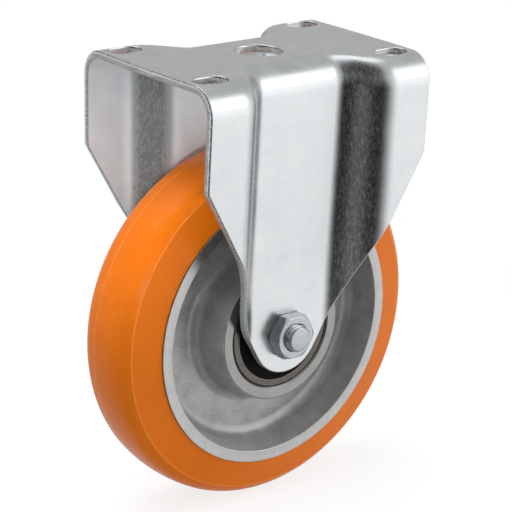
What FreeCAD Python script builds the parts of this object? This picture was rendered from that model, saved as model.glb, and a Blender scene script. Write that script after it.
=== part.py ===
import FreeCAD, Part
import math
import os

# Fixed castor: one pressed steel bracket carries a polyurethane wheel on an aluminium core,
# which turns on two sealed ball bearings around a clamped axle tube.
# The origin is the centre of the mounting plate's top face. X is the rolling direction,
# Y is the axle and Z points up. All lengths are in millimetres and all angles in degrees.

# Whole castor
TOTAL_HEIGHT = 200.0

# Bracket, pressed from one sheet
SHEET = 3.2
PLATE_LENGTH = 117.0
PLATE_BOW = 1.2
DRAW_DEPTH = 16.0
HUB_CLEARANCE = 1.0
LEG_LEAN = 2.0
CLAMPED_HEIGHT = 25.0
TOP_BEND = 12.0
FLANGE_DROP = 43.0
FLANGE_CORNER = 1.5
PANEL_FLAT = 39.5
WALL_ANGLE = 48.0
CREST_BEND = 8.0
ROOT_BEND = 5.0
LEG_END_RADIUS = 17.8
OUTLINE_BLEND = 60.0

# Holes in the plate
HOLE_INSET_X = 10.25
HOLE_INSET_Y = 14.95
SLOT_LENGTH = 15.5
SLOT_WIDTH = 10.5
CENTRE_HOLE = 20.5
HOLE_LIP = 0.7

# Wheel
WHEEL_DIAMETER = 160.0
RIM_WIDTH = 40.0
TREAD_DEPTH = 18.5
RIM_RING = 5.0
RIM_DRAFT = 3.2
WEB_THICKNESS = 10.0
WEB_FILLET_SHARE = 0.26
HUB_LENGTH = 45.0
HUB_WALL = 5.5
HUB_DRAFT = 2.6
HUB_EDGE = 0.8
RIM_EDGE = 0.4
BORE_CHAMFER = 0.7
TREAD_SIDE_WIDTH = 38.4
CROWN_RADIUS = 50.0
CROWN_WIDTH = 17.0
SHOULDER_RADIUS = 10.8
SHOULDER_ANGLE = 56.0

# Deep-groove ball bearings, one in each end of the hub
BEARING_BORE = 25.0
BEARING_OUTSIDE = 52.0
BEARING_WIDTH = 15.0
BEARING_RECESS = 0.5
BEARING_CHAMFER = 0.9
RING_EDGE = 0.6
BALL_DIAMETER = 7.938
BALL_COUNT = 9
INNER_SHOULDER = 33.8
OUTER_SHOULDER = 43.2
SEAL_LAND_INSIDE = 30.5
SEAL_LAND_OUTSIDE = 45.0
SEAL_THICKNESS = 1.3
SEAL_SETBACK = 0.25
SEAL_LIP = 0.5
SEAL_LIP_WIDTH = 1.5

# Ball cages, each of two riveted ribbons
RIBBON = 0.8
CAGE_INSIDE = 36.0
CAGE_OUTSIDE = 41.2
RIVET_DIAMETER = 1.2
RIVET_HEAD = 2.0
RIVET_HEAD_HEIGHT = 0.5

# Axle
TUBE_BORE = 12.6
SPACER_OUTSIDE = 29.0
BUSH_OUTSIDE = 30.0
PIECE_CHAMFER = 0.5
BOLT_DIAMETER = 12.0
BOLT_HOLE = 12.5
BOLT_HEAD_FLATS = 19.0
BOLT_HEAD_HEIGHT = 7.5
BOLT_END_CHAMFER = 1.6
BOLT_EDGE = 0.5
BOLT_PROTRUSION = 3.0
NUT_FLATS = 19.0
NUT_HEIGHT = 6.0
NUT_COUNTERSINK = 13.0
NUT_TURN = 2.0
HEX_CHAMFER_ANGLE = 30.0

# Clearances on the radius
FIT = 0.02
RACE_GAP = 0.05
POCKET_GAP = 0.2
SEAL_GAP = 0.12

# Sizes that follow from those above
AXLE_DROP = TOTAL_HEIGHT - WHEEL_DIAMETER / 2
FORK_GAP = HUB_LENGTH + 2 * HUB_CLEARANCE
LEG_OUTSIDE = FORK_GAP / 2 + SHEET
PANEL_OUTSIDE = LEG_OUTSIDE + LEG_LEAN
FLANGE_OUTSIDE = PANEL_OUTSIDE + DRAW_DEPTH
BRACKET_WIDTH = 2 * FLANGE_OUTSIDE
HOLE_PITCH_X = PLATE_LENGTH - 2 * HOLE_INSET_X
HOLE_PITCH_Y = BRACKET_WIDTH - 2 * HOLE_INSET_Y
RIM_DIAMETER = WHEEL_DIAMETER - 2 * TREAD_DEPTH
HUB_DIAMETER = BEARING_OUTSIDE + 2 * HUB_WALL
PITCH_RADIUS = (BEARING_BORE + BEARING_OUTSIDE) / 4
BALL_RADIUS = BALL_DIAMETER / 2
BEARING_OFFSET = HUB_LENGTH / 2 - BEARING_RECESS - BEARING_WIDTH / 2
HUB_SHOULDER = BEARING_OFFSET - BEARING_WIDTH / 2
SIDES = {"near": -1, "far": 1}

X_AXIS = FreeCAD.Vector(1, 0, 0)
Y_AXIS = FreeCAD.Vector(0, 1, 0)
Z_AXIS = FreeCAD.Vector(0, 0, 1)
ORIGIN = FreeCAD.Vector(0, 0, 0)


def polar(centre, radius, angle):
    """Give the 2-D point at an angle, in degrees, on a circle about a 2-D centre."""
    turn = math.radians(angle)
    return (centre[0] + radius * math.cos(turn), centre[1] + radius * math.sin(turn))


def arc_edge(place, centre, radius, start, end):
    """Make the arc between two angles, with place turning a 2-D point into a 3-D one."""
    points = [place(*polar(centre, radius, angle)) for angle in (start, (start + end) / 2, end)]
    return Part.Arc(*points).toShape()


def line_edge(place, start, end):
    """Make a straight edge between two 2-D points."""
    return Part.makeLine(place(*start), place(*end))


def in_xz(first, second):
    """Place a 2-D point in the XZ plane."""
    return FreeCAD.Vector(first, 0, second)


def in_xy(first, second):
    """Place a 2-D point in the XY plane."""
    return FreeCAD.Vector(first, second, 0)


def rounded_wire(corners, place):
    """Make a closed wire through (first, second, rounding) corners."""
    count = len(corners)
    cuts = []
    for index in range(count):
        near_corners = [corners[(index + step) % count] for step in (-1, 0, 1)]
        before, here, after = [FreeCAD.Vector(corner[0], corner[1], 0) for corner in near_corners]
        rounding = corners[index][2]
        to_before = (before - here).normalize()
        to_after = (after - here).normalize()
        half = to_before.getAngle(to_after) / 2
        reach = rounding / math.tan(half)
        middle = (to_before + to_after).normalize() * (rounding / math.sin(half) - rounding)
        cuts.append((here + to_before * reach, here + middle, here + to_after * reach, rounding))
    edges = []
    for index, (start, middle, end, rounding) in enumerate(cuts):
        if rounding > 0:
            edges.append(Part.Arc(*(place(p.x, p.y) for p in (start, middle, end))).toShape())
        following = cuts[(index + 1) % count][0]
        edges.append(Part.makeLine(place(end.x, end.y), place(following.x, following.y)))
    return Part.Wire(edges)


def turned(corners):
    """Revolve a closed (radius, height, rounding) outline about Z."""
    return Part.Face(rounded_wire(corners, in_xz)).revolve(ORIGIN, Z_AXIS, 360)


def tube(inside, outside, low, high, chamfer=0.0):
    """Make a tube about Z from its two diameters and two heights, with chamfered ends."""
    inner = inside / 2
    outer = outside / 2
    outline = [(inner, low + chamfer, 0), (inner + chamfer, low, 0), (outer - chamfer, low, 0),
               (outer, low + chamfer, 0), (outer, high - chamfer, 0), (outer - chamfer, high, 0),
               (inner + chamfer, high, 0), (inner, high - chamfer, 0)]
    if chamfer == 0:
        outline = [(inner, low, 0), (outer, low, 0), (outer, high, 0), (inner, high, 0)]
    return turned(outline)


def on_axle(shape, along=0.0, turn=0.0):
    """Lay a shape built about Z along the axle, with its +Z end towards +Y."""
    placed = shape.copy()
    placed.rotate(ORIGIN, Z_AXIS, turn)
    placed.rotate(ORIGIN, X_AXIS, -90)
    placed.translate(FreeCAD.Vector(0, along, -AXLE_DROP))
    return placed


def wall_straight():
    """Give the length of the slanted wall between its two bends, in plan."""
    slope = math.radians(WALL_ANGLE)
    rounds = (CREST_BEND + ROOT_BEND) * (1 - math.cos(slope))
    return (DRAW_DEPTH - rounds) / math.sin(slope)


def crest_place():
    """Give the place along X where the slanted wall's outer bend ends in the flange."""
    slope = math.radians(WALL_ANGLE)
    return PANEL_FLAT / 2 + (CREST_BEND + ROOT_BEND) * math.sin(slope) + wall_straight() * math.cos(slope)


def extra_sheet():
    """Give how much longer the flat sheet is than its plan, from the panel to the flange."""
    slope = math.radians(WALL_ANGLE)
    in_bends = (CREST_BEND + ROOT_BEND) * (slope - math.sin(slope))
    return in_bends + wall_straight() * (1 - math.cos(slope))


def wall_path(inset):
    """Make the plan path of one side of the bracket, inset from its outer skin."""
    flange = FLANGE_OUTSIDE - inset
    panel = PANEL_OUTSIDE - inset
    root_x = PANEL_FLAT / 2
    crest_x = crest_place()
    edges = []
    for side in (-1, 1):
        root = (side * root_x, panel + ROOT_BEND + inset)
        crest = (side * crest_x, flange - CREST_BEND + inset)
        up = 90 - side * WALL_ANGLE
        down = up - 180
        outer_end = (side * PLATE_LENGTH, flange)
        parts = [line_edge(in_xy, outer_end, (crest[0], flange)),
                 arc_edge(in_xy, crest, CREST_BEND - inset, 90, 180 - up),
                 line_edge(in_xy, polar(crest, CREST_BEND - inset, 180 - up),
                           polar(root, ROOT_BEND + inset, -up)),
                 arc_edge(in_xy, root, ROOT_BEND + inset, -up, -90)]
        edges += parts if side < 0 else parts[::-1]
        if side < 0:
            edges.append(line_edge(in_xy, (-root_x, panel), (root_x, panel)))
    return Part.Wire(Part.__sortEdges__(edges))


def bend_zone(inset):
    """Make the top of one side of the block, where the plate bends down into the legs."""
    face = FLANGE_OUTSIDE - inset
    radius = TOP_BEND - inset
    centre = (face - radius, -TOP_BEND)

    def place(y, z):
        return FreeCAD.Vector(-PLATE_LENGTH, y, z)

    edges = [line_edge(place, (0, -inset), (face - radius, -inset)),
             arc_edge(place, centre, radius, 90, 0),
             line_edge(place, (face, -TOP_BEND), (0, -TOP_BEND)),
             line_edge(place, (0, -TOP_BEND), (0, -inset))]
    pipe = Part.BRepOffsetAPI.MakePipeShell(wall_path(inset))
    pipe.setTrihedronMode(ORIGIN, Z_AXIS)
    pipe.add(Part.Wire(edges))
    pipe.build()
    pipe.makeSolid()
    return pipe.shape()


def half_block(inset):
    """Make one side of the bracket as a filled block, inset from its outer skin."""
    path = wall_path(inset)
    ends = (in_xy(-PLATE_LENGTH, 0), in_xy(PLATE_LENGTH, 0))
    low, high = [path.Vertexes[index].Point for index in (0, -1)]
    closing = [Part.makeLine(high, ends[1]), Part.makeLine(ends[1], ends[0]), Part.makeLine(ends[0], low)]
    plan = Part.Face(Part.Wire(path.Edges + closing))
    plan.translate(-Z_AXIS * TOP_BEND)
    lean = FreeCAD.Vector(0, -LEG_LEAN, TOP_BEND + CLAMPED_HEIGHT - AXLE_DROP)
    leaning = plan.extrude(lean)
    plan.translate(lean)
    return bend_zone(inset).fuse([leaning, plan.extrude(-Z_AXIS * TOTAL_HEIGHT)])


def plate_plan():
    """Make the prism that trims the bracket's ends, which bow out a little at the middle."""
    half = PLATE_LENGTH / 2
    bow_radius = (FLANGE_OUTSIDE ** 2 + PLATE_BOW ** 2) / (2 * PLATE_BOW)
    reach = FLANGE_OUTSIDE + SHEET
    sink = bow_radius - math.sqrt(bow_radius ** 2 - reach ** 2)
    edges = []
    for side in (-1, 1):
        crown = side * (half + PLATE_BOW)
        end_x = crown - side * sink
        start = (end_x, -side * reach)
        finish = (end_x, side * reach)
        edges.append(Part.Arc(in_xy(*start), in_xy(crown, 0), in_xy(*finish)).toShape())
        edges.append(line_edge(in_xy, finish, (-end_x, side * reach)))
    prism = Part.Face(Part.Wire(edges)).extrude(-Z_AXIS * 2 * TOTAL_HEIGHT)
    prism.translate(Z_AXIS * SHEET)
    return prism


def leg_outline():
    """Make the prism that trims the legs to the side outline, which is straight on the flat sheet."""
    extra = extra_sheet()
    centre = (0, -AXLE_DROP)
    corner = (PLATE_LENGTH / 2 + extra, -FLANGE_DROP)
    span = math.hypot(corner[0] - centre[0], corner[1] - centre[1])
    bearing = math.degrees(math.atan2(corner[1] - centre[1], corner[0] - centre[0]))
    tangent = bearing - math.degrees(math.acos(LEG_END_RADIUS / span))
    slope = math.tan(math.radians(90 + tangent))
    tip = corner[1] - corner[0] * slope
    wall_middle = (PANEL_FLAT / 2 + crest_place()) / 2
    steeper = slope / math.cos(math.radians(WALL_ANGLE)) - slope
    reach = slope * extra / (2 * steeper)
    high_x = wall_middle + reach
    low_x = wall_middle - reach
    wide = PLATE_LENGTH / 2 + PLATE_BOW + SHEET
    side = [(wide, SHEET, 0), (wide, tip + (wide + extra) * slope, 0),
            (high_x, tip + (high_x + extra) * slope, OUTLINE_BLEND),
            (low_x, tip + low_x * slope, OUTLINE_BLEND)]
    corners = side + [(0, tip, LEG_END_RADIUS)] + [(-x, z, r) for x, z, r in side[::-1]]
    prism = Part.Face(rounded_wire(corners, in_xz)).extrude(Y_AXIS * 2 * BRACKET_WIDTH)
    prism.translate(-Y_AXIS * BRACKET_WIDTH)
    return prism


def flange_corners(shape):
    """Find the short edges where the flanges' ends meet the legs' tapered edges."""
    found = []
    for edge in shape.Edges:
        box = edge.BoundBox
        across = box.YLength > SHEET / 2 and box.XLength < SHEET / 2 and box.ZLength < SHEET
        at_end = min(abs(box.XMin), abs(box.XMax)) > PLATE_LENGTH / 2 - FIT
        if across and at_end and box.ZMax < -FLANGE_DROP / 2:
            found.append(edge)
    return found


def slot_prism():
    """Make the prism of one slot, centred on the origin and long in X."""
    run = (SLOT_LENGTH - SLOT_WIDTH) / 2
    radius = SLOT_WIDTH / 2
    edges = [line_edge(in_xy, (-run, -radius), (run, -radius)),
             arc_edge(in_xy, (run, 0), radius, -90, 90),
             line_edge(in_xy, (run, radius), (-run, radius)),
             arc_edge(in_xy, (-run, 0), radius, 90, 270)]
    prism = Part.Face(Part.Wire(edges)).extrude(-Z_AXIS * 4 * SHEET)
    prism.translate(Z_AXIS * SHEET)
    return prism


def hole_edges(shape):
    """Find the rims of the slots and the centre hole on the plate's top face."""
    reach_x = HOLE_PITCH_X / 2 + SLOT_LENGTH / 2 + HOLE_LIP / 2
    reach_y = HOLE_PITCH_Y / 2 + SLOT_WIDTH / 2 + HOLE_LIP / 2
    found = []
    for edge in shape.Edges:
        box = edge.BoundBox
        flat = box.ZMax > -FIT and box.ZLength < HOLE_LIP
        inside = max(abs(box.XMin), abs(box.XMax)) < reach_x and max(abs(box.YMin), abs(box.YMax)) < reach_y
        if flat and inside:
            found.append(edge)
    return found


def bracket():
    """Make the one-piece bracket: plate, flanges, drawn legs, slots and axle holes."""
    half = half_block(0.0).cut(half_block(SHEET))
    keep = Part.makeBox(4 * PLATE_LENGTH, BRACKET_WIDTH, 4 * TOTAL_HEIGHT,
                        FreeCAD.Vector(-2 * PLATE_LENGTH, 0, -2 * TOTAL_HEIGHT))
    half = half.common(keep)
    shell = half.fuse(half.mirror(ORIGIN, Y_AXIS)).removeSplitter()
    shell = shell.common(plate_plan()).common(leg_outline())
    shell = shell.makeFillet(FLANGE_CORNER, flange_corners(shell))
    for x in (-HOLE_PITCH_X / 2, HOLE_PITCH_X / 2):
        for y in (-HOLE_PITCH_Y / 2, HOLE_PITCH_Y / 2):
            slot = slot_prism()
            slot.translate(FreeCAD.Vector(x, y, 0))
            shell = shell.cut(slot)
    shell = shell.cut(Part.makeCylinder(CENTRE_HOLE / 2, 4 * SHEET, FreeCAD.Vector(0, 0, -2 * SHEET)))
    axle = Part.makeCylinder(BOLT_HOLE / 2, BRACKET_WIDTH, ORIGIN)
    shell = shell.cut(on_axle(axle, -BRACKET_WIDTH / 2))
    return shell.makeChamfer(HOLE_LIP, hole_edges(shell))


def hexagon(flats, low, high):
    """Make a hexagonal prism about Z with a corner on X and its rims chamfered."""
    corner_radius = flats / math.sqrt(3)
    points = [in_xy(*polar((0, 0), corner_radius, 60 * step)) for step in range(7)]
    prism = Part.Face(Part.makePolygon(points)).extrude(Z_AXIS * (high - low))
    prism.translate(Z_AXIS * low)
    rise = (corner_radius - flats / 2) * math.tan(math.radians(HEX_CHAMFER_ANGLE))
    blank = turned([(0, low, 0), (flats / 2, low, 0), (corner_radius, low + rise, 0),
                    (corner_radius, high - rise, 0), (flats / 2, high, 0), (0, high, 0)])
    return prism.common(blank)


def axle_bolt():
    """Make the hexagon bolt: head outside the far leg, plain chamfered end past the nut."""
    radius = BOLT_DIAMETER / 2
    end = -LEG_OUTSIDE - NUT_HEIGHT - BOLT_PROTRUSION
    inside_head = LEG_OUTSIDE + BOLT_HEAD_HEIGHT / 2
    start = end + BOLT_END_CHAMFER
    shank = turned([(0, end, 0), (radius - BOLT_END_CHAMFER, end, BOLT_EDGE), (radius, start, BOLT_EDGE),
                    (radius, inside_head, 0), (0, inside_head, 0)])
    head = hexagon(BOLT_HEAD_FLATS, LEG_OUTSIDE, LEG_OUTSIDE + BOLT_HEAD_HEIGHT)
    return on_axle(shank.fuse(head).removeSplitter())


def axle_nut():
    """Make the low hexagon nut that clamps the near leg."""
    low = -LEG_OUTSIDE - NUT_HEIGHT
    high = -LEG_OUTSIDE
    bore = BOLT_DIAMETER / 2 + FIT
    sink = NUT_COUNTERSINK / 2
    drill = turned([(0, low, 0), (sink, low, 0), (bore, low + sink - bore, 0),
                    (bore, high - sink + bore, 0), (sink, high, 0), (0, high, 0)])
    return on_axle(hexagon(NUT_FLATS, low, high).cut(drill), turn=-NUT_TURN)


def axle_pieces():
    """Make the clamped tube, the spacer between the bearings and the two outer bushes."""
    bush_start = BEARING_OFFSET + BEARING_WIDTH / 2
    around_tube = BEARING_BORE + 2 * FIT
    half_gap = FORK_GAP / 2
    spacer = tube(around_tube, SPACER_OUTSIDE, -HUB_SHOULDER, HUB_SHOULDER, PIECE_CHAMFER)
    pieces = {
        "axle_tube": on_axle(tube(TUBE_BORE, BEARING_BORE, -half_gap, half_gap, PIECE_CHAMFER)),
        "bearing_spacer": on_axle(spacer),
    }
    for name, side in SIDES.items():
        low, high = sorted((side * bush_start, side * half_gap))
        pieces[name + "_bush"] = on_axle(tube(around_tube, BUSH_OUTSIDE, low, high, PIECE_CHAMFER))
    return pieces


def race_groove():
    """Make the ring that cuts the ball track into both bearing rings."""
    return Part.makeTorus(PITCH_RADIUS, BALL_RADIUS + RACE_GAP)


def seal_base():
    """Give the height, from the bearing's middle, at which each seal's recess starts."""
    return BEARING_WIDTH / 2 - SEAL_SETBACK - SEAL_THICKNESS - SEAL_GAP


def inner_ring():
    """Make a bearing's inner ring, with its track and stepped seal lands."""
    end = BEARING_WIDTH / 2
    bore = BEARING_BORE / 2 + FIT
    land = SEAL_LAND_INSIDE / 2
    shoulder = INNER_SHOULDER / 2
    step = seal_base()
    corners = [(bore, end - BEARING_CHAMFER, 0), (bore + BEARING_CHAMFER, end, 0),
               (land - RING_EDGE, end, 0), (land, end - RING_EDGE, 0), (land, step, 0), (shoulder, step, 0)]
    mirrored = [(r, -z, rounding) for r, z, rounding in corners[::-1]]
    return turned(corners + mirrored).cut(race_groove())


def outer_ring():
    """Make a bearing's outer ring, with its track and seal recesses."""
    end = BEARING_WIDTH / 2
    outside = BEARING_OUTSIDE / 2
    land = SEAL_LAND_OUTSIDE / 2
    shoulder = OUTER_SHOULDER / 2
    step = seal_base()
    corners = [(outside, end - BEARING_CHAMFER, 0), (outside - BEARING_CHAMFER, end, 0),
               (land, end, 0), (land, step, 0), (shoulder, step, 0)]
    mirrored = [(r, -z, rounding) for r, z, rounding in corners[::-1]]
    return turned(corners + mirrored).cut(race_groove())


def seal():
    """Make a rubber seal disc at a bearing's +Z face, with a thinner lip at its inner edge."""
    base = seal_base() + SEAL_GAP
    top = base + SEAL_THICKNESS
    inside = SEAL_LAND_INSIDE / 2 + SEAL_GAP
    outside = SEAL_LAND_OUTSIDE / 2 - FIT
    lip_end = inside + SEAL_LIP_WIDTH
    low = top - SEAL_LIP
    return turned([(inside, base, 0), (outside, base, 0), (outside, low, 0), (outside - SEAL_LIP, top, 0),
                   (lip_end, top, 0), (lip_end - SEAL_LIP, low, 0), (inside, low, 0)])


def ball_places():
    """Give the centres of a bearing's balls about Z."""
    step = 360.0 / BALL_COUNT
    return [in_xy(*polar((0, 0), PITCH_RADIUS, step * index)) for index in range(BALL_COUNT)]


def rivet_places():
    """Give the centres of the rivets, midway between the balls."""
    step = 360.0 / BALL_COUNT
    return [in_xy(*polar((0, 0), PITCH_RADIUS, step * (index + 0.5))) for index in range(BALL_COUNT)]


def cage_half():
    """Make the +Z ribbon of a cage: flats between the balls and a cup over each ball."""
    cup = BALL_RADIUS + POCKET_GAP
    ribbon = tube(CAGE_INSIDE, CAGE_OUTSIDE, 0, RIBBON)
    band = tube(CAGE_INSIDE, CAGE_OUTSIDE, 0, BEARING_WIDTH / 2)
    for centre in ball_places():
        ribbon = ribbon.fuse(Part.makeSphere(cup + RIBBON, centre).common(band))
    for centre in ball_places():
        ribbon = ribbon.cut(Part.makeSphere(cup, centre))
    for centre in rivet_places():
        hole = Part.makeCylinder(RIVET_DIAMETER / 2 + FIT, 4 * RIBBON, centre - Z_AXIS * RIBBON)
        ribbon = ribbon.cut(hole)
    return ribbon.removeSplitter()


def cage_rivets():
    """Make the rivets that join the two ribbons, as a group of like solids."""
    head = RIVET_HEAD / 2
    shank = RIVET_DIAMETER / 2
    top = RIBBON + RIVET_HEAD_HEIGHT
    profile = [(0, -top, 0), (shank, -top, 0), (head, -RIBBON, 0), (shank, -RIBBON, 0),
               (shank, RIBBON, 0), (head, RIBBON, 0), (shank, top, 0), (0, top, 0)]
    rivet = turned(profile)
    group = []
    for centre in rivet_places():
        copy = rivet.copy()
        copy.translate(centre)
        group.append(copy)
    return Part.makeCompound(group)


def bearing(name, side):
    """Make one bearing's rings, seals, cage and balls at its end of the hub."""
    along = side * BEARING_OFFSET
    flip = Part.makeCompound([cage_half()])
    lower = flip.mirror(ORIGIN, Z_AXIS).Solids[0]
    upper = flip.Solids[0]
    outboard, inboard = (upper, lower) if side > 0 else (lower, upper)
    top_seal = seal()
    low_seal = top_seal.mirror(ORIGIN, Z_AXIS)
    outboard_seal, inboard_seal = (top_seal, low_seal) if side > 0 else (low_seal, top_seal)
    pieces = {
        name + "_inner_ring": inner_ring(),
        name + "_outer_ring": outer_ring(),
        name + "_outboard_seal": outboard_seal,
        name + "_inboard_seal": inboard_seal,
        name + "_cage_outboard_half": outboard,
        name + "_cage_inboard_half": inboard,
        name + "_cage_rivets": cage_rivets(),
    }
    for index, centre in enumerate(ball_places()):
        pieces[name + "_ball_" + str(index + 1)] = Part.makeSphere(BALL_RADIUS, centre)
    return {node: on_axle(shape, along) for node, shape in pieces.items()}


def wheel_core():
    """Make the cast core: hub, web and rim in one piece, bored for the bearings."""
    seat = BEARING_OUTSIDE / 2 + FIT
    hub = HUB_DIAMETER / 2
    hub_end = HUB_LENGTH / 2
    web = WEB_THICKNESS / 2
    rim_end = RIM_WIDTH / 2
    rim_out = RIM_DIAMETER / 2
    rim_in = rim_out - RIM_RING
    passage = SEAL_LAND_OUTSIDE / 2
    fillet = WEB_FILLET_SHARE * (rim_in - RIM_DRAFT - hub - HUB_DRAFT)
    half = [(passage, HUB_SHOULDER, 0), (seat, HUB_SHOULDER, 0),
            (seat, hub_end - BORE_CHAMFER, 0), (seat + BORE_CHAMFER, hub_end, 0),
            (hub - HUB_EDGE, hub_end, 0), (hub, hub_end - HUB_EDGE, 0),
            (hub + HUB_DRAFT, web, fillet), (rim_in - RIM_DRAFT, web, fillet),
            (rim_in, rim_end - RIM_EDGE, 0), (rim_in + RIM_EDGE, rim_end, 0), (rim_out, rim_end, 0)]
    mirrored = [(r, -z, rounding) for r, z, rounding in half[::-1]]
    return on_axle(turned(half + mirrored))


def tread():
    """Make the moulded tread: a crowned face, round shoulders and sloping sides."""
    inner = RIM_DIAMETER / 2
    side = TREAD_SIDE_WIDTH / 2
    crown_centre = (WHEEL_DIAMETER / 2 - CROWN_RADIUS, 0)
    joint_angle = math.degrees(math.asin(CROWN_WIDTH / 2 / CROWN_RADIUS))
    round_centre = polar(crown_centre, CROWN_RADIUS - SHOULDER_RADIUS, joint_angle)
    shoulder = polar(round_centre, SHOULDER_RADIUS, SHOULDER_ANGLE)
    low_centre = (round_centre[0], -round_centre[1])
    low_shoulder = (shoulder[0], -shoulder[1])
    edges = [line_edge(in_xz, (inner, -side), low_shoulder),
             arc_edge(in_xz, low_centre, SHOULDER_RADIUS, -SHOULDER_ANGLE, -joint_angle),
             arc_edge(in_xz, crown_centre, CROWN_RADIUS, -joint_angle, joint_angle),
             arc_edge(in_xz, round_centre, SHOULDER_RADIUS, joint_angle, SHOULDER_ANGLE),
             line_edge(in_xz, shoulder, (inner, side)),
             line_edge(in_xz, (inner, side), (inner, -side))]
    return on_axle(Part.Face(Part.Wire(edges)).revolve(ORIGIN, Z_AXIS, 360))


def castor():
    """Make every piece of the castor, by node name."""
    pieces = {"fork_bracket": bracket(), "axle_bolt": axle_bolt(), "axle_nut": axle_nut()}
    pieces.update(axle_pieces())
    pieces.update({"wheel_core": wheel_core(), "tread": tread()})
    for name, side in SIDES.items():
        pieces.update(bearing(name, side))
    return pieces


def main():
    """Write one STEP file for each piece and print its size."""
    os.makedirs("parts", exist_ok=True)
    for node, shape in castor().items():
        shape.exportStep("parts/" + node + ".step")
        print(node, shape.isValid(), len(shape.Solids), round(shape.Volume, 1))


main()
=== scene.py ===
import logging
import math
from dataclasses import dataclass
from enum import Enum
from typing import Any, Callable, Iterable, Sequence

import bmesh
import bpy
from mathutils import Matrix, Vector


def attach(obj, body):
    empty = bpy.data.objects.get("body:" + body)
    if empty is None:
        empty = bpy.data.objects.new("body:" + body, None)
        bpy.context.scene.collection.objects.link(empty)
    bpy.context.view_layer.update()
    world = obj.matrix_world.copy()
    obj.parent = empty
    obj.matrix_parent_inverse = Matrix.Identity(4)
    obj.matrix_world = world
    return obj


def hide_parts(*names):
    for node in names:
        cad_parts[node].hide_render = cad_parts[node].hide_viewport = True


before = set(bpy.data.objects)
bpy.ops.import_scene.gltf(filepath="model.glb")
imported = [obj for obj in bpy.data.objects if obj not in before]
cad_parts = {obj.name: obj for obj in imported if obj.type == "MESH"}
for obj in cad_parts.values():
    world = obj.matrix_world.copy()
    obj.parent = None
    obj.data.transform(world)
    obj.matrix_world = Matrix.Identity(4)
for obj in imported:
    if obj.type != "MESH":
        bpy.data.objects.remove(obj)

LOG = logging.getLogger("fixed_castor")
MM = 0.001  # One millimetre in the scene's metres.
AXLE_HEIGHT = -120.0  # The axle's height in millimetres, from the plate's top face.
SHARP_EDGE = 38.0  # Faces that meet at more than this angle, in degrees, keep a sharp edge between them.

Tree = bpy.types.NodeTree
Socket = bpy.types.NodeSocket
Material = bpy.types.Material
Piece = bpy.types.Object
Vertex = bmesh.types.BMVert
Sockets = dict[str | int, Any]
Span = tuple[float, float]  # A low and a high end.
Place = tuple[float, float, float]  # X, Y and Z.
Corner = tuple[float, float, float]  # Radius, place along the axle and rounding, in millimetres.
Point = tuple[float, float, int]  # Radius and place along the axle in millimetres, and the number of a side.
Row = tuple[str, float, int]  # The part of the bracket's section, the share along it and the sign of Y.


class Body(Enum):
    """The rigid bodies that pieces ride on."""

    FORK = "fork"
    WHEEL = "wheel"


class Side(Enum):
    """The two ends of the axle, with the sign of Y at each."""

    NEAR = -1
    FAR = 1

    @property
    def word(self) -> str:
        """The side's name as it stands in node names."""
        return self.name.lower()


# Colours and nodes


def linear(code: str) -> tuple[float, float, float, float]:
    """Turn an sRGB hex colour into linear values.

    Args:
        code: Six hex digits after a hash sign.

    Returns:
        Red, green and blue as linear values, and an alpha of 1.
    """
    parts = [int(code[start : start + 2], 16) / 255 for start in (1, 3, 5)]
    values = [part / 12.92 if part <= 0.04045 else ((part + 0.055) / 1.055) ** 2.4 for part in parts]
    return (values[0], values[1], values[2], 1.0)


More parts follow.
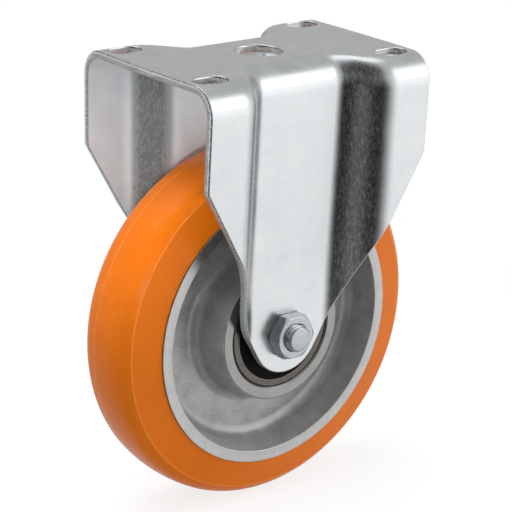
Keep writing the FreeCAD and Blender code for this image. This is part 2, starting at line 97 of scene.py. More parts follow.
@dataclass(frozen=True)
class Drawing:
    """A node tree that patterns are drawn in, and the point that they look up, in metres."""

    tree: Tree
    place: Socket | None = None

    def fill(self, node: bpy.types.Node, sockets: Sockets) -> None:
        """Fill or link a node's inputs.

        Args:
            node: The node.
            sockets: Input names or numbers, each with a value or another node's output.
        """
        for key, value in sockets.items():
            if isinstance(value, Socket):
                self.tree.links.new(value, node.inputs[key])
            else:
                node.inputs[key].default_value = value

    def add(
        self, kind: str, sockets: Sockets | None = None, output: str | int = 0, **settings: Any
    ) -> Socket:
        """Add one node, set its properties, and fill or link its inputs.

        Args:
            kind: Blender's name for the kind of node, after the word ShaderNode.
            sockets: Input names or numbers, each with a value or another node's output.
            output: The name or number of the output that is wanted.
            settings: The node's properties.

        Returns:
            That output.
        """
        node = self.tree.nodes.new(f"ShaderNode{kind}")
        for name, value in settings.items():
            setattr(node, name, value)
        self.fill(node, sockets or {})
        return node.outputs[output]

    def tint(self, value: Socket, source: Span, dark: str, light: str) -> Socket:
        """Turn a pattern into a colour between two.

        Args:
            value: The pattern.
            source: The pattern's values where the dark and the light colour are full.
            dark: The dark colour, as sRGB hex.
            light: The light colour, as sRGB hex.

        Returns:
            The colour.
        """
        share = self.add("MapRange", {0: value, 1: source[0], 2: source[1]})
        return self.add("Mix", {0: share, 6: linear(dark), 7: linear(light)}, 2, data_type="RGBA")

    def grain(
        self, size_mm: float, detail: float = 2.0, squeeze: Place | None = None, place: Socket | None = None
    ) -> Socket:
        """Make soft noise whose blotches have a real size.

        Args:
            size_mm: The usual distance from one blotch to the next.
            detail: How many finer layers are added.
            squeeze: Factors for X, Y and Z; below 1 the blotches come out longer in that direction.
            place: The point that is looked up, where it isn't the drawing's own.

        Returns:
            A value around 0.5.
        """
        looked_up = self.place if place is None else place
        if squeeze is not None:
            looked_up = self.add("Mapping", {"Vector": looked_up, "Scale": squeeze})
        sockets = {"Vector": looked_up, "Scale": 1 / (size_mm * MM), "Detail": detail, "Roughness": 0.55}
        return self.add("TexNoise", sockets, "Fac")

    def round_axle(self) -> tuple[Socket, Socket]:
        """Split the drawing's point, with the axle through its origin.

        Returns:
            The distance from the axle, and the place along it.
        """
        parts = self.add("SeparateXYZ", {0: self.place}).node.outputs
        flat = self.add("CombineXYZ", {0: parts[0], 2: parts[2]})
        return self.add("VectorMath", {0: flat}, "Value", operation="LENGTH"), parts[1]

    def rings(self, step_mm: float) -> Socket:
        """Make the uneven lines that a turning tool leaves round the axle.

        Args:
            step_mm: The usual distance from one line to the next.

        Returns:
            A value around 0.5 that changes only with the distance from the axle and along it.
        """
        radius, along = self.round_axle()
        return self.grain(step_mm, 3.0, place=self.add("CombineXYZ", {0: radius, 1: along}))

    def relief(self, *layers: tuple[Socket, float], under: Socket | None = None) -> Socket:
        """Lay reliefs of a real depth over each other.

        Args:
            layers: From the coarsest to the finest, a pattern for the height, and the depth in millimetres.
            under: The normal of a relief that these lie on.

        Returns:
            The normal.
        """
        normal = under
        for height, depth_mm in layers:
            sockets: Sockets = {"Height": height, "Distance": depth_mm * MM, "Strength": 1.0}
            if normal is not None:
                sockets["Normal"] = normal
            normal = self.add("Bump", sockets)
        return normal


@dataclass(frozen=True)
class Finish:
    """A material's start: its name, and plain values for a program that can't read the patterns."""

    name: str
    metallic: float = 0.0
    roughness: float = 0.5

    def material(self) -> Material:
        """Build the material.

        Returns:
            The material.
        """
        made = bpy.data.materials.new(self.name)
        made.use_nodes = True
        shader = made.node_tree.nodes["Principled BSDF"]
        draw = Drawing(made.node_tree, Drawing(made.node_tree).add("TexCoord", output="Object"))
        draw.fill(shader, {"Metallic": self.metallic, "Roughness": self.roughness})
        draw.fill(shader, self.inputs(draw))
        return made

    def inputs(self, draw: Drawing) -> Sockets:
        """Draw the finish's patterns.

        Args:
            draw: Where they are drawn, with the object's own coordinates.

        Returns:
            What goes into the shader's inputs.
        """
        return {}


@dataclass(frozen=True)
class ZincPlate(Finish):
    """Bright zinc plating on cold-rolled steel: a satin grey with soft cloudy patches."""

    metallic: float = 1.0
    dark: str = "#C6C9CB"
    light: str = "#D6D9DA"
    cloud_mm: float = 11.0
    smooth: float = 0.25
    rough: float = 0.33
    # The slanted walls' colours: scuffs, painted darker as painted shade.
    scuff_and_shade_dark: str = "#8F9193"
    scuff_and_shade_light: str = "#DCDEE0"

    def inputs(self, draw: Drawing) -> Sockets:
        """Draw the plating, and its scuffs with painted shade where the finish has scuff and shade colours.

        Args:
            draw: Where the patterns are drawn.

        Returns:
            What goes into the shader's inputs.
        """
        # The bath lays zinc unevenly, which gives wide soft clouds with slightly different shine.
        clouds = draw.grain(self.cloud_mm, 4.0)
        # The plating's crystals are some hundredths of a millimetre; drawn at 0.7 mm, they show as a faint
        # sparkle.
        crystals = draw.grain(0.7)
        tone = draw.add("Mix", {0: 0.35, 2: clouds, 3: crystals})
        colour = draw.tint(tone, (0.32, 0.66), self.dark, self.light)
        roughness = draw.add("MapRange", {0: clouds, 1: 0.35, 2: 0.65, 3: self.smooth, 4: self.rough})
        relief = draw.relief((draw.grain(14.0, 1.0), 0.02), (crystals, 0.003))
        # The slanted walls get their scuffs and a painted shade.
        if self.scuff_and_shade_dark:
            colour, roughness, relief = self.draw_scuffs_and_shade(draw, colour, roughness, relief)
        return {"Base Color": colour, "Roughness": roughness, "Normal": relief}

    def draw_scuffs_and_shade(
        self, draw: Drawing, colour: Socket, roughness: Socket, relief: Socket
    ) -> tuple[Socket, Socket, Socket]:
        """Add the grainy, scuffed skin of the walls that the die has drawn, painted darker as painted shade.

        Args:
            draw: Where the marks are drawn.
            colour: The plain plating's colour.
            roughness: The plain plating's roughness.
            relief: The plain plating's normal.

        Returns:
            The colour, roughness and normal with the scuffs and painted shade on the slanted walls.
        """
        # Only the slanted walls slid over the die, so the marks fade in with the sheet's turn in plan. The
        # die scuffs the zinc and draws the scuffs out in height, which speckles those walls. Their darker
        # colour is painted shade, standing in for the dark surroundings that those walls mirror.
        normal = draw.add("NewGeometry", output="Normal")
        turned = draw.add("VectorTransform", {0: normal}, vector_type="NORMAL")
        across = draw.add("Math", {0: draw.add("SeparateXYZ", {0: turned})}, operation="ABSOLUTE")
        mask = draw.add("MapRange", {0: across, 1: 0.45, 2: 0.72})
        scuffs = draw.grain(0.9, 3.0, (1.0, 1.0, 0.35))
        speckle = draw.grain(0.6, 3.0)
        both = draw.add("Mix", {0: 0.5, 2: scuffs, 3: speckle})
        # A darker colour on the walls: scuffs and painted shade.
        scuffed_shade = draw.tint(both, (0.46, 0.66), self.scuff_and_shade_dark, self.scuff_and_shade_light)
        colour = draw.add("Mix", {0: mask, 6: colour, 7: scuffed_shade}, 2, data_type="RGBA")
        grit = draw.add("MapRange", {0: both, 1: 0.35, 2: 0.65, 3: 0.18, 4: 0.34})
        roughness = draw.add("Mix", {0: mask, 2: roughness, 3: grit})
        height = draw.add("Math", {0: both, 1: mask}, operation="MULTIPLY")
        return colour, roughness, draw.relief((height, 0.018), under=relief)


@dataclass(frozen=True)
class ShearedSteel(Finish):
    """The plated cut edge of punched sheet: a bright burnished band, or the torn, duller one below it."""

    metallic: float = 0.6
    dark: str = "#C2C4C4"
    light: str = "#E2E3E2"
    smooth: float = 0.26
    rough: float = 0.38
    depth_mm: float = 0.015

    def inputs(self, draw: Drawing) -> Sockets:
        """Draw the streaks that the punch leaves.

        Args:
            draw: Where the patterns are drawn.

        Returns:
            What goes into the shader's inputs.
        """
        streaks = draw.grain(0.8, 3.0, (1.0, 0.12, 1.0))
        return {
            "Base Color": draw.tint(streaks, (0.3, 0.7), self.dark, self.light),
            "Roughness": draw.add("MapRange", {0: streaks, 1: 0.3, 2: 0.7, 3: self.smooth, 4: self.rough}),
            "Normal": draw.relief((streaks, self.depth_mm)),
        }


@dataclass(frozen=True)
class CastPolyurethane(Finish):
    """Cast polyurethane elastomer, turned after casting: a deep, glossy orange."""

    roughness: float = 0.28
    deep: str = "#CE670A"
    plain: str = "#D86E0A"
    # Painted highlight lines: a painted reflection of a soft box's edge beside the middle, and a painted
    # highlight on each shoulder's edge.
    highlight_colour: str = "#EE9148"
    crown_highlight: float = 4.4  # Along the axle, in millimetres.
    shoulder_highlight: float = 74.6  # From the axle, in millimetres.
    highlight_width: Span = (0.15, 0.5)  # Half of a line's full part and of its whole width.
    highlight_share: float = 0.45

    def inputs(self, draw: Drawing) -> Sockets:
        """Draw the tread's elastomer.

        Args:
            draw: Where the patterns are drawn.

        Returns:
            What goes into the shader's inputs.
        """
        # Pouring leaves wide, faint changes of depth in the colour. Turning leaves lines about 0.2 mm apart,
        # which are drawn at 0.9 mm so that they show as a slight silkiness.
        cloud, lines = draw.grain(28.0, 3.0), draw.rings(0.9)
        tone = draw.add("Mix", {0: 0.25, 2: cloud, 3: lines})
        colour = draw.tint(tone, (0.25, 0.75), self.deep, self.plain)
        # Lay the painted highlight lines over the colour.
        painted_lines = {0: self.painted_highlight_lines(draw), 6: colour, 7: linear(self.highlight_colour)}
        return {
            "Base Color": draw.add("Mix", painted_lines, 2, data_type="RGBA"),
            "Roughness": draw.add("MapRange", {0: cloud, 1: 0.35, 2: 0.65, 3: 0.17, 4: 0.28}),
            "Normal": draw.relief((draw.grain(6.0, 1.0), 0.02), (lines, 0.006)),
            "IOR": 1.45,
            "Specular IOR Level": 0.2,
            "Subsurface Weight": 0.12,
            "Subsurface Radius": (0.9, 0.3, 0.08),
            "Subsurface Scale": 0.004,
        }

    def painted_highlight_lines(self, draw: Drawing) -> Socket:
        """Make the fine painted highlight lines: one beside the middle, a painted reflection of a soft box's
        edge, and a painted highlight on each shoulder's edge.

        Args:
            draw: Where the lines are drawn.

        Returns:
            The share of the lines' colour, highest on them and 0 away from them.
        """
        radius, along = draw.round_axle()
        core, rim = self.highlight_width
        shares = []
        for value, joint in ((along, self.crown_highlight), (radius, self.shoulder_highlight)):
            gap = draw.add("Math", {0: value, 1: joint * MM}, operation="SUBTRACT")
            gap = draw.add("Math", {0: gap}, operation="ABSOLUTE")
            sockets = {0: gap, 1: core * MM, 2: rim * MM, 3: self.highlight_share, 4: 0.0}
            shares.append(draw.add("MapRange", sockets))
        return draw.add("Math", {0: shares[0], 1: shares[1]}, operation="MAXIMUM")


@dataclass(frozen=True)
class SandCastAluminium(Finish):
    """Aluminium as it comes from a fine sand mould: dull grey with soft marks and a small grain."""

    metallic: float = 0.5
    dark: str = "#8E8E8D"
    light: str = "#B2B1AF"

    def inputs(self, draw: Drawing) -> Sockets:
        """Draw the cast skin.

        Args:
            draw: Where the patterns are drawn.

        Returns:
            What goes into the shader's inputs.
        """
        # Fine moulding sand has grains of about 0.2 mm; they are drawn at 0.6 mm so that they show.
        grains = draw.grain(0.6, 3.0)
        # The metal's flow and the mould's wash leave soft dents and stains, which break up the web's shine.
        flow = draw.grain(9.0, 4.0)
        tone = draw.add("Mix", {0: 0.5, 2: grains, 3: flow})
        return {
            "Base Color": draw.tint(tone, (0.36, 0.62), self.dark, self.light),
            "Roughness": draw.add("MapRange", {0: flow, 1: 0.3, 2: 0.7, 3: 0.28, 4: 0.42}),
            "Normal": draw.relief((flow, 0.08), (grains, 0.025)),
        }


@dataclass(frozen=True)
class TurnedMetal(Finish):
    """Metal that a lathe tool has faced: bright, with fine lines round the axle."""

    metallic: float = 1.0
    dark: str = "#B9B9B7"
    light: str = "#DEDEDC"
    step_mm: float = 0.7
    depth_mm: float = 0.012
    smooth: float = 0.24
    rough: float = 0.36

    def inputs(self, draw: Drawing) -> Sockets:
        """Draw the turned surface.

        Args:
            draw: Where the patterns are drawn.

        Returns:
            What goes into the shader's inputs.
        """
        # Feed marks are about 0.1 mm apart; they are drawn coarser so that they show, and spread the light
        # into a sheen across the rings.
        lines, cloud = draw.rings(self.step_mm), draw.grain(5.0, 3.0)
        tone = draw.add("Mix", {0: 0.5, 2: lines, 3: cloud})
        return {
            "Base Color": draw.tint(tone, (0.35, 0.65), self.dark, self.light),
            "Roughness": draw.add("MapRange", {0: cloud, 1: 0.3, 2: 0.7, 3: self.smooth, 4: self.rough}),
            "Normal": draw.relief((lines, self.depth_mm)),
        }


@dataclass(frozen=True)
class MouldedRubber(Finish):
    """Nitrile rubber from a mould: matt black with a little bloom."""

    roughness: float = 0.55

    def inputs(self, draw: Drawing) -> Sockets:
        """Draw the seals' rubber.

        Args:
            draw: Where the patterns are drawn.

        Returns:
            What goes into the shader's inputs.
        """
        # Rubber copies the mould's fine blasted skin, so it hardly shines, and its wax comes out in patches.
        bloom = draw.grain(2.5, 4.0)
        return {
            "Base Color": draw.tint(bloom, (0.35, 0.7), "#030303", "#0A0A0B"),
            "Roughness": draw.add("MapRange", {0: bloom, 1: 0.3, 2: 0.7, 3: 0.60, 4: 0.75}),
            "Specular IOR Level": 0.12,
            "Normal": draw.relief((draw.grain(0.8), 0.01)),
        }


# Meshes


def rounded(corners: Sequence[Corner], steps: int) -> list[Point]:
    """Round the corners of a closed outline.

    Args:
        corners: The corners.
        steps: How many pieces an arc has.

    Returns:
        The outline's points, each with the number of the side that starts there.
    """
    points: list[Point] = []
    count = len(corners)
    for index, (radius, along, rounding) in enumerate(corners):
        here = Vector((radius, along))
        before = (Vector(corners[index - 1][:2]) - here).normalized()
        after = (Vector(corners[(index + 1) % count][:2]) - here).normalized()
        half = before.angle(after) / 2
        straight = abs(half - math.pi / 2) < 1e-4
        if rounding <= 0 or straight:
            points.append((radius, along, index))
            continue
        start = here + before * (rounding / math.tan(half))
        end = here + after * (rounding / math.tan(half))
        centre = here + (before + after).normalized() * (rounding / math.sin(half))
        first, last = (start - centre).normalized(), (end - centre).normalized()
        swing = first.angle(last) * (1 if first.cross(last) > 0 else -1)
        for step in range(steps + 1):
            share = step / steps
            point = centre + Matrix.Rotation(swing * share, 2) @ first * rounding
            points.append((point.x, point.y, index if share > 0.5 else (index - 1) % count))
    return points


def finish_mesh(name: str, mesh: bmesh.types.BMesh, finishes: Sequence[Material]) -> Piece:
    """Turn a bmesh into a smooth-shaded object.

    Args:
        name: The object's name.
        mesh: The bmesh, in metres.
        finishes: The materials, in the order of the faces' numbers.

    Returns:
        The object, linked to the scene.
    """
    bmesh.ops.recalc_face_normals(mesh, faces=mesh.faces)
    for face in mesh.faces:
        face.smooth = True
    for edge in mesh.edges:
        if len(edge.link_faces) == 2 and edge.calc_face_angle() > math.radians(SHARP_EDGE):
            edge.smooth = False
    data = bpy.data.meshes.new(name)
    mesh.to_mesh(data)
    mesh.free()
    for finish in finishes:
        data.materials.append(finish)
    made = bpy.data.objects.new(name, data)
    bpy.context.scene.collection.objects.link(made)
    return made


def shade_evenly(piece: Piece) -> None:
    """Let the large faces lead the shading of the small ones between them."""
    piece.modifiers.new("even_shading", "WEIGHTED_NORMAL").keep_sharp = True


def bridge(
    mesh: bmesh.types.BMesh,
    loops: Sequence[Sequence[Vertex]],
    finish_of: Callable[[int, int], int] = lambda layer, index: 0,
    closed: bool = True,
) -> None:
    """Join each loop of points to the next one with four-sided faces.

    Args:
        mesh: The bmesh that takes the faces.
        loops: The loops, each with the same number of points.
        finish_of: Gives a face's material number from its layer's number and its first point's.
        closed: Whether each loop's last point is joined to its first one.
    """
    for layer, (here, there) in enumerate(zip(loops, loops[1:])):
        for index in range(len(here) if closed else len(here) - 1):
            following = (index + 1) % len(here)
            face = mesh.faces.new((here[index], here[following], there[following], there[index]))
            face.material_index = finish_of(layer, index)


def sweep(
    name: str,
    section: Callable[[float], Sequence[tuple[float, float]]],
    finishes: Sequence[Material],
    finish_of: Callable[[int], int] = lambda index: 0,
    around: int = 180,
    closed: bool = True,
) -> Piece:
    """Build a piece round the axle from a section that may change on the way.

    Args:
        name: The object's name.
        section: Gives radius and place along the axle of each point, in millimetres, at an angle.
        finishes: The materials.
        finish_of: Gives the material number of the side that starts at a point.
        around: How many steps the circle has.
        closed: Whether the section is a closed outline, or ends near the axle on both sides.

    Returns:
        The piece, at the axle's height.
    """
    mesh = bmesh.new()
    loops = []
    for step in range(around):
        turn = math.tau * step / around
        wave, swing = math.cos(turn), math.sin(turn)
        loops.append([mesh.verts.new((r * wave * MM, a * MM, r * swing * MM)) for r, a in section(turn)])
    bridge(mesh, loops + loops[:1], lambda layer, index: finish_of(index), closed)
    if not closed:
        for end in (0, -1):
            mesh.faces.new([loop[end] for loop in loops])
    made = finish_mesh(name, mesh, finishes)
    shade_evenly(made)
    made.location = (0, 0, AXLE_HEIGHT * MM)
    return made


def lathe(
    name: str,
    points: Sequence[Point],
    finishes: Sequence[Material],
    finish_of: Callable[[int], int] = lambda side: 0,
    around: int = 96,
) -> Piece:
    """Turn a closed outline round the axle.

    Args:
        name: The object's name.
        points: The outline.
        finishes: The materials.
        finish_of: Gives the number of a side's material.
        around: How many steps the circle has.

    Returns:
        The turned piece.
    """
    section = [(radius, along) for radius, along, _ in points]
    return sweep(name, lambda turn: section, finishes, lambda index: finish_of(points[index][2]), around)


def mirrored(half: Sequence[Corner]) -> list[Corner]:
    """Add the mirror image of half an outline, so that the whole runs from +Y round to -Y."""
    return [*half, *((radius, -along, rounding) for radius, along, rounding in half[::-1])]


def ring_outline(inside: float, outside: float, low: float, high: float, edge: float) -> list[Corner]:
    """Give the outline of a plain ring, with all its edges rounded.

    Args:
        inside: The inner diameter.
        outside: The outer diameter.
        low: The end towards -Y.
        high: The end towards +Y.
        edge: The rounding of its edges.

    Returns:
        The outline's corners.
    """
    inner, outer = inside / 2, outside / 2
    return [(inner, low, edge), (outer, low, edge), (outer, high, edge), (inner, high, edge)]


def settle(piece: Piece, body: Body, nodes: Iterable[str]) -> None:
    """Give a piece its body and the CAD nodes that it stands for.

    Args:
        piece: The finished piece.
        body: The body that it rides on.
        nodes: The CAD nodes that it stands for.
    """
    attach(piece, body.value)
    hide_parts(*nodes)
    LOG.info("%s rides on %s with %d faces", piece.name, body.value, len(piece.data.polygons))


def dress(node: str, finish: Material) -> None:
    """Give a CAD node a material of its own.

    Args:
        node: The node's name.
        finish: The material.
    """
    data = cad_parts[node].data
    data.materials.clear()
    data.materials.append(finish)


@dataclass
class Bracket:
    """The one-piece pressed bracket: plate, top bends, flanges and drawn legs. Sizes are in millimetres."""

    sheet: float = 3.2
    width: float = 89.4
    draw_depth: float = 16.0
    length: float = 117.0
    bow: float = 1.2  # How far the middle of the plate's ends swells out.
    bow_start: float = 46.0  # Where along X the swelling starts.
    top_bend: float = 12.0
    panel_flat: float = 37.6
    wall_angle: float = 47.0
    wall_swell: float = 7.0
    crest_bend: float = 12.0
    root_bend: float = 7.0
    flange_drop: float = 43.0
    flange_corner: float = 1.5
    leg_end: float = 17.8
    leg_lean: float = 2.0
    clamped_height: float = 25.0
    roll_over: float = 0.55
    burnished: float = 0.42  # The share of the cut edge above the torn band.
    burr: float = 0.2
    slot_pitch: tuple[float, float] = (96.5, 59.5)
    slot_size: tuple[float, float] = (15.5, 10.5)
    centre_hole: float = 20.5
    lip: float = 1.0
    lip_turn: float = 84.0  # In degrees; at 90 the lip would end in the plate's own face, which can't be cut.
    bolt_hole: float = 12.5
    hole_steps: int = 72
    bolt_hole_steps: int = 64

    def __post_init__(self) -> None:
        """Work out the sheet's run through the bends, and its straight side outline on the flat."""
        low, high = (math.radians(self.wall_angle + swell) for swell in (-self.wall_swell, self.wall_swell))
        bends = self.root_bend + self.crest_bend
        wall_depth = self.draw_depth - bends * (1 - math.cos(low))
        gentle = wall_depth * (high - low) / (math.cos(low) - math.cos(high)) / 2
        self.arcs = [
            ((self.root_bend + self.sheet / 2) * low, 0.0, low),
            (gentle, low, high),
            (gentle, high, low),
            ((self.crest_bend - self.sheet / 2) * low, low, 0.0),
        ]
        reach = bends * math.sin(low) + 2 * gentle * (math.sin(high) - math.sin(low)) / (high - low)
        self.root_x = self.panel_flat / 2
        extra = sum(length for length, _, _ in self.arcs) - reach
        self.half_run = self.length / 2 + extra
        rise = -self.flange_drop - AXLE_HEIGHT
        corner = math.hypot(self.half_run, rise)
        self.tangent = math.atan2(rise, self.half_run) - math.acos(self.leg_end / corner)
        self.steep = math.tan(math.pi / 2 + self.tangent)

    def middle(self, run: float) -> tuple[float, float, float]:
        """Give the middle of the sheet in plan at a run from the panel's centre.

        Args:
            run: The distance along the flat sheet.

        Returns:
            The place along X, the distance in Y from the middle of the panel's sheet, and the sheet's turn.
        """
        x, y, turn = min(abs(run), self.root_x), 0.0, 0.0
        left = abs(run) - x
        for length, start, end in self.arcs:
            here = min(left, length)
            rate = (end - start) / length
            turn = start + rate * here
            x += (math.sin(turn) - math.sin(start)) / rate
            y += (math.cos(start) - math.cos(turn)) / rate
            left -= here
            if left <= 0:
                break
        x += left
        return math.copysign(x, run), y, math.copysign(turn, run)

    def lower_edge(self, run: float, inset: float) -> float:
        """Give the height of a leg's side outline, which is straight on the flat sheet.

        Args:
            run: The distance along the flat sheet.
            inset: How far the outline is moved inwards.

        Returns:
            The outline's height.
        """
        place = abs(run)
        lean = math.hypot(1, self.steep)
        radius = self.leg_end - inset
        if place <= radius * math.cos(self.tangent):
            return AXLE_HEIGHT - math.sqrt(radius**2 - place**2)
        foot = -self.flange_drop - self.half_run * self.steep
        round_run = self.half_run - self.flange_corner
        round_z = foot + round_run * self.steep + self.flange_corner * lean
        small = self.flange_corner - inset
        if place > round_run + small * self.steep / lean:
            return round_z - math.sqrt(max(small**2 - (place - round_run) ** 2, 0))
        return foot + place * self.steep + inset * lean

    def columns(self) -> list[float]:
        """Give the columns' places along the flat sheet, denser in the bends, the leg ends and the corners.

        Returns:
            Places from -1 to 1, as shares of the sheet's half run.
        """
        # Each stop has its place and how many columns lead up to it: the leg's round end, the panel, the four
        # arcs and the flange.
        stops = [(self.leg_end * math.cos(self.tangent), 12), (self.root_x, 5)]
        for (length, _, _), count in zip(self.arcs, (12, 7, 7, 14)):
            stops.append((stops[-1][0] + length, count))
        stops.append((self.half_run - self.flange_corner, 7))
        places = [0.0]
        for end, count in stops:
            start = places[-1]
            places += [start + (end - start) * (step + 1) / count for step in range(count)]
        for step in range(1, 7):
            places.append(self.half_run - self.flange_corner * (1 - math.sin(math.pi / 12 * step)))
        shares = [place / self.half_run for place in places]
        return [-share for share in shares[:0:-1]] + shares

    def skin(self, share: float, row: Row, depth: float, cut: float) -> Vector:
        """Give one point of the sheet.

        Args:
            share: The column, as a share of the sheet's half run.
            row: The row of the section.
            depth: The depth below the outer skin.
            cut: How far the outline is moved inwards.

        Returns:
            The point, in millimetres.
        """
        run = share * (self.half_run - cut)
        x, rise, turn = self.middle(run)
        off = self.sheet / 2 - depth
        x -= off * math.sin(turn)
        wall = self.width / 2 - self.draw_depth - self.sheet / 2 + rise + off * math.cos(turn)
        part, along, side = row
        radius = self.top_bend - depth
        if part == "plate":
            y, z = (wall - radius) * along, -depth
        elif part == "bend":
            turned = math.pi / 2 * along
            y = wall - radius + radius * math.sin(turned)
            z = -self.top_bend + radius * math.cos(turned)
        else:
            z = -self.top_bend + (self.lower_edge(run, cut) + self.top_bend) * along
            flat = -AXLE_HEIGHT - self.top_bend - self.clamped_height
            y = wall - self.leg_lean * min(1.0, (-self.top_bend - z) / flat)
        near_end = max(0.0, (abs(x) - self.bow_start) / (self.length / 2 - self.bow_start))
        bowed = self.bow * (1 - (y / (self.width / 2)) ** 2) * near_end**2 * (3 - 2 * near_end)
        return Vector((x + math.copysign(bowed, x), y * side, z))

    def rows(self) -> list[Row]:
        """Give the section's rows, from the near leg's foot over the plate to the far leg's foot.

        Returns:
            The rows.
        """
        half = [("plate", step / 10, 1) for step in range(10)]
        half += [("bend", step / 12, 1) for step in range(13)]
        half += [("wall", step / 22, 1) for step in range(1, 23)]
        return [(part, along, -1) for part, along, _ in half[:0:-1]] + half

    def build(self, finishes: Sequence[Material]) -> Piece:
        """Build the bracket's sheet, with rolled and torn cut edges.

        Args:
            finishes: The materials of the outer skin, the burnished band, the torn band and the inner skin.

        Returns:
            The bracket before its holes are cut.
        """
        columns, rows = self.columns(), self.rows()
        wide, tall = len(columns) - 1, len(rows) - 1
        border = [(i, 0) for i in range(wide)] + [(wide, j) for j in range(tall)]
        border += [(i, tall) for i in range(wide, 0, -1)] + [(0, j) for j in range(tall, 0, -1)]
        mesh = bmesh.new()
        outer, inner = (
            [[mesh.verts.new(self.skin(column, row, depth, cut) * MM) for row in rows] for column in columns]
            for depth, cut in ((0.0, self.roll_over), (self.sheet, self.burr))
        )
        for net, kind in ((outer, 0), (inner, 3)):
            for i in range(wide):
                for j in range(tall):
                    face = mesh.faces.new((net[i][j], net[i + 1][j], net[i + 1][j + 1], net[i][j + 1]))
                    face.material_index = kind
        layers = self.edge_layers()
        loops = [[outer[i][j] for i, j in border]]
        for cut, depth, _ in layers:
            loops.append([mesh.verts.new(self.skin(columns[i], rows[j], depth, cut) * MM) for i, j in border])
        loops.append([inner[i][j] for i, j in border])
        kinds = [kind for _, _, kind in layers] + [3]
        bridge(mesh, loops, lambda layer, index: kinds[layer])
        return finish_mesh("bracket_pressing", mesh, finishes)

    def edge_layers(self) -> list[tuple[float, float, int]]:
        """Give the section of a cut edge.

        Returns:
            The inset, the depth, and the material of each step from the outer skin.
        """
        layers = []
        for step in range(1, 6):
            turn = math.pi / 2 * step / 5
            layers.append((self.roll_over * (1 - math.sin(turn)), self.roll_over * (1 - math.cos(turn)), 0))
        layers.append((0.0, self.burnished * self.sheet, 1))
        layers.append((0.0, self.sheet - self.burr, 2))
        return layers

    def cutter(self, name: str, half_run: float, radius: float, centre: tuple[float, float]) -> Piece:
        """Make the tool that cuts a slot or a round hole with a rolled upper edge.

        Args:
            name: The tool's name.
            half_run: Half of the slot's straight run.
            radius: The radius of its ends.
            centre: Its place on the plate.

        Returns:
            The tool.
        """
        levels = [(-3 * self.sheet, radius), (-self.lip, radius)]
        for step in range(1, 7):
            turn = math.radians(self.lip_turn) * step / 6
            levels.append((-self.lip * (1 - math.sin(turn)), radius + self.lip * (1 - math.cos(turn))))
        levels.append((self.sheet, radius + self.lip))
        loops = []
        for height, reach in levels:
            loop = []
            for step in range(self.hole_steps):
                turn = math.tau * (step + 0.5) / self.hole_steps
                x = reach * math.cos(turn) + math.copysign(half_run, math.cos(turn))
                loop.append((centre[0] + x, centre[1] + reach * math.sin(turn), height))
            loops.append(loop)
        # The straight wall is sheared, and the lip has the skin's plating.
        return self.tool(name, loops, lambda layer, index: 0 if layer else 1)

    def axle_cutter(self) -> Piece:
        """Make the tool that cuts the bolt's holes through both legs.

        Returns:
            The tool.
        """
        radius = self.bolt_hole / 2
        turns = [math.tau * (step + 0.5) / self.bolt_hole_steps for step in range(self.bolt_hole_steps)]
        loops = [
            [(radius * math.cos(turn), along, AXLE_HEIGHT + radius * math.sin(turn)) for turn in turns]
            for along in (-self.width, self.width)
        ]
        return self.tool("axle_cutter", loops, lambda layer, index: 0)

    def tool(
        self, name: str, loops: Sequence[Sequence[Place]], finish_of: Callable[[int, int], int]
    ) -> Piece:
        """Make a closed tool from loops of points.

        Args:
            name: The tool's name.
            loops: The loops, from one end to the other, as places in millimetres.
            finish_of: Gives the material number that a wall's face leaves on the bracket.

        Returns:
            The tool.
        """
        mesh = bmesh.new()
        made = [[mesh.verts.new(Vector(point) * MM) for point in loop] for loop in loops]
        bridge(mesh, made, finish_of)
        mesh.faces.new(made[0][::-1])
        mesh.faces.new(made[-1])
        return finish_mesh(name, mesh, ())

    def cut(self, piece: Piece, tools: Sequence[Piece]) -> None:
        """Cut the holes and remove the tools.

        Args:
            piece: The bracket.
            tools: The tools, which don't touch each other.
        """
        for tool in tools:
            step = piece.modifiers.new("hole", "BOOLEAN")
            step.operation = "DIFFERENCE"
            step.solver = "EXACT"
            step.object = tool
        graph = bpy.context.evaluated_depsgraph_get()
        data = bpy.data.meshes.new_from_object(piece.evaluated_get(graph))
        piece.modifiers.clear()
        piece.data = data
        for tool in tools:
            bpy.data.objects.remove(tool)
        shade_evenly(piece)

    def assemble(self) -> None:
        """Build the bracket with its holes and settle it."""
        # Zinc plated drawn steel: the sheet's outer skin, satin with soft clouds, and scuffed slanted walls
        # painted darker as painted shade.
        skin = ZincPlate("zinc_plated_drawn_steel").material()
        # The cut edge, whose bright band above a duller one makes the sheet's thickness easy to read.
        bright = ShearedSteel("zinc_plated_sheared_edge").material()
        torn = ShearedSteel(
            "zinc_plated_torn_edge", dark="#8F9192", light="#BFC1C1", smooth=0.42, rough=0.60, depth_mm=0.06
        ).material()
        # The inner skin, which the photo shows paler and duller between the legs.
        # Its paler colour is painted light between the legs, and its slanted walls are painted much darker as
        # painted shade.
        inside = ZincPlate(
            "zinc_plated_inner_skin",
            metallic=0.35,
            dark="#D6E0E6",
            light="#E6EEF2",
            smooth=0.45,
            rough=0.55,
            scuff_and_shade_dark="#77797A",
            scuff_and_shade_light="#939596",
        ).material()
        piece = self.build((skin, bright, torn, inside))
        half_x, half_y = self.slot_pitch[0] / 2, self.slot_pitch[1] / 2
        radius = self.slot_size[1] / 2
        run = self.slot_size[0] / 2 - radius
        centres = [(x, y) for x in (-half_x, half_x) for y in (-half_y, half_y)]
        tools = [self.cutter(f"slot_cutter_{i}", run, radius, centre) for i, centre in enumerate(centres)]
        tools.append(self.cutter("centre_cutter", 0.0, self.centre_hole / 2, (0.0, 0.0)))
        tools.append(self.axle_cutter())
        self.cut(piece, tools)
        settle(piece, Body.FORK, ["fork_bracket"])


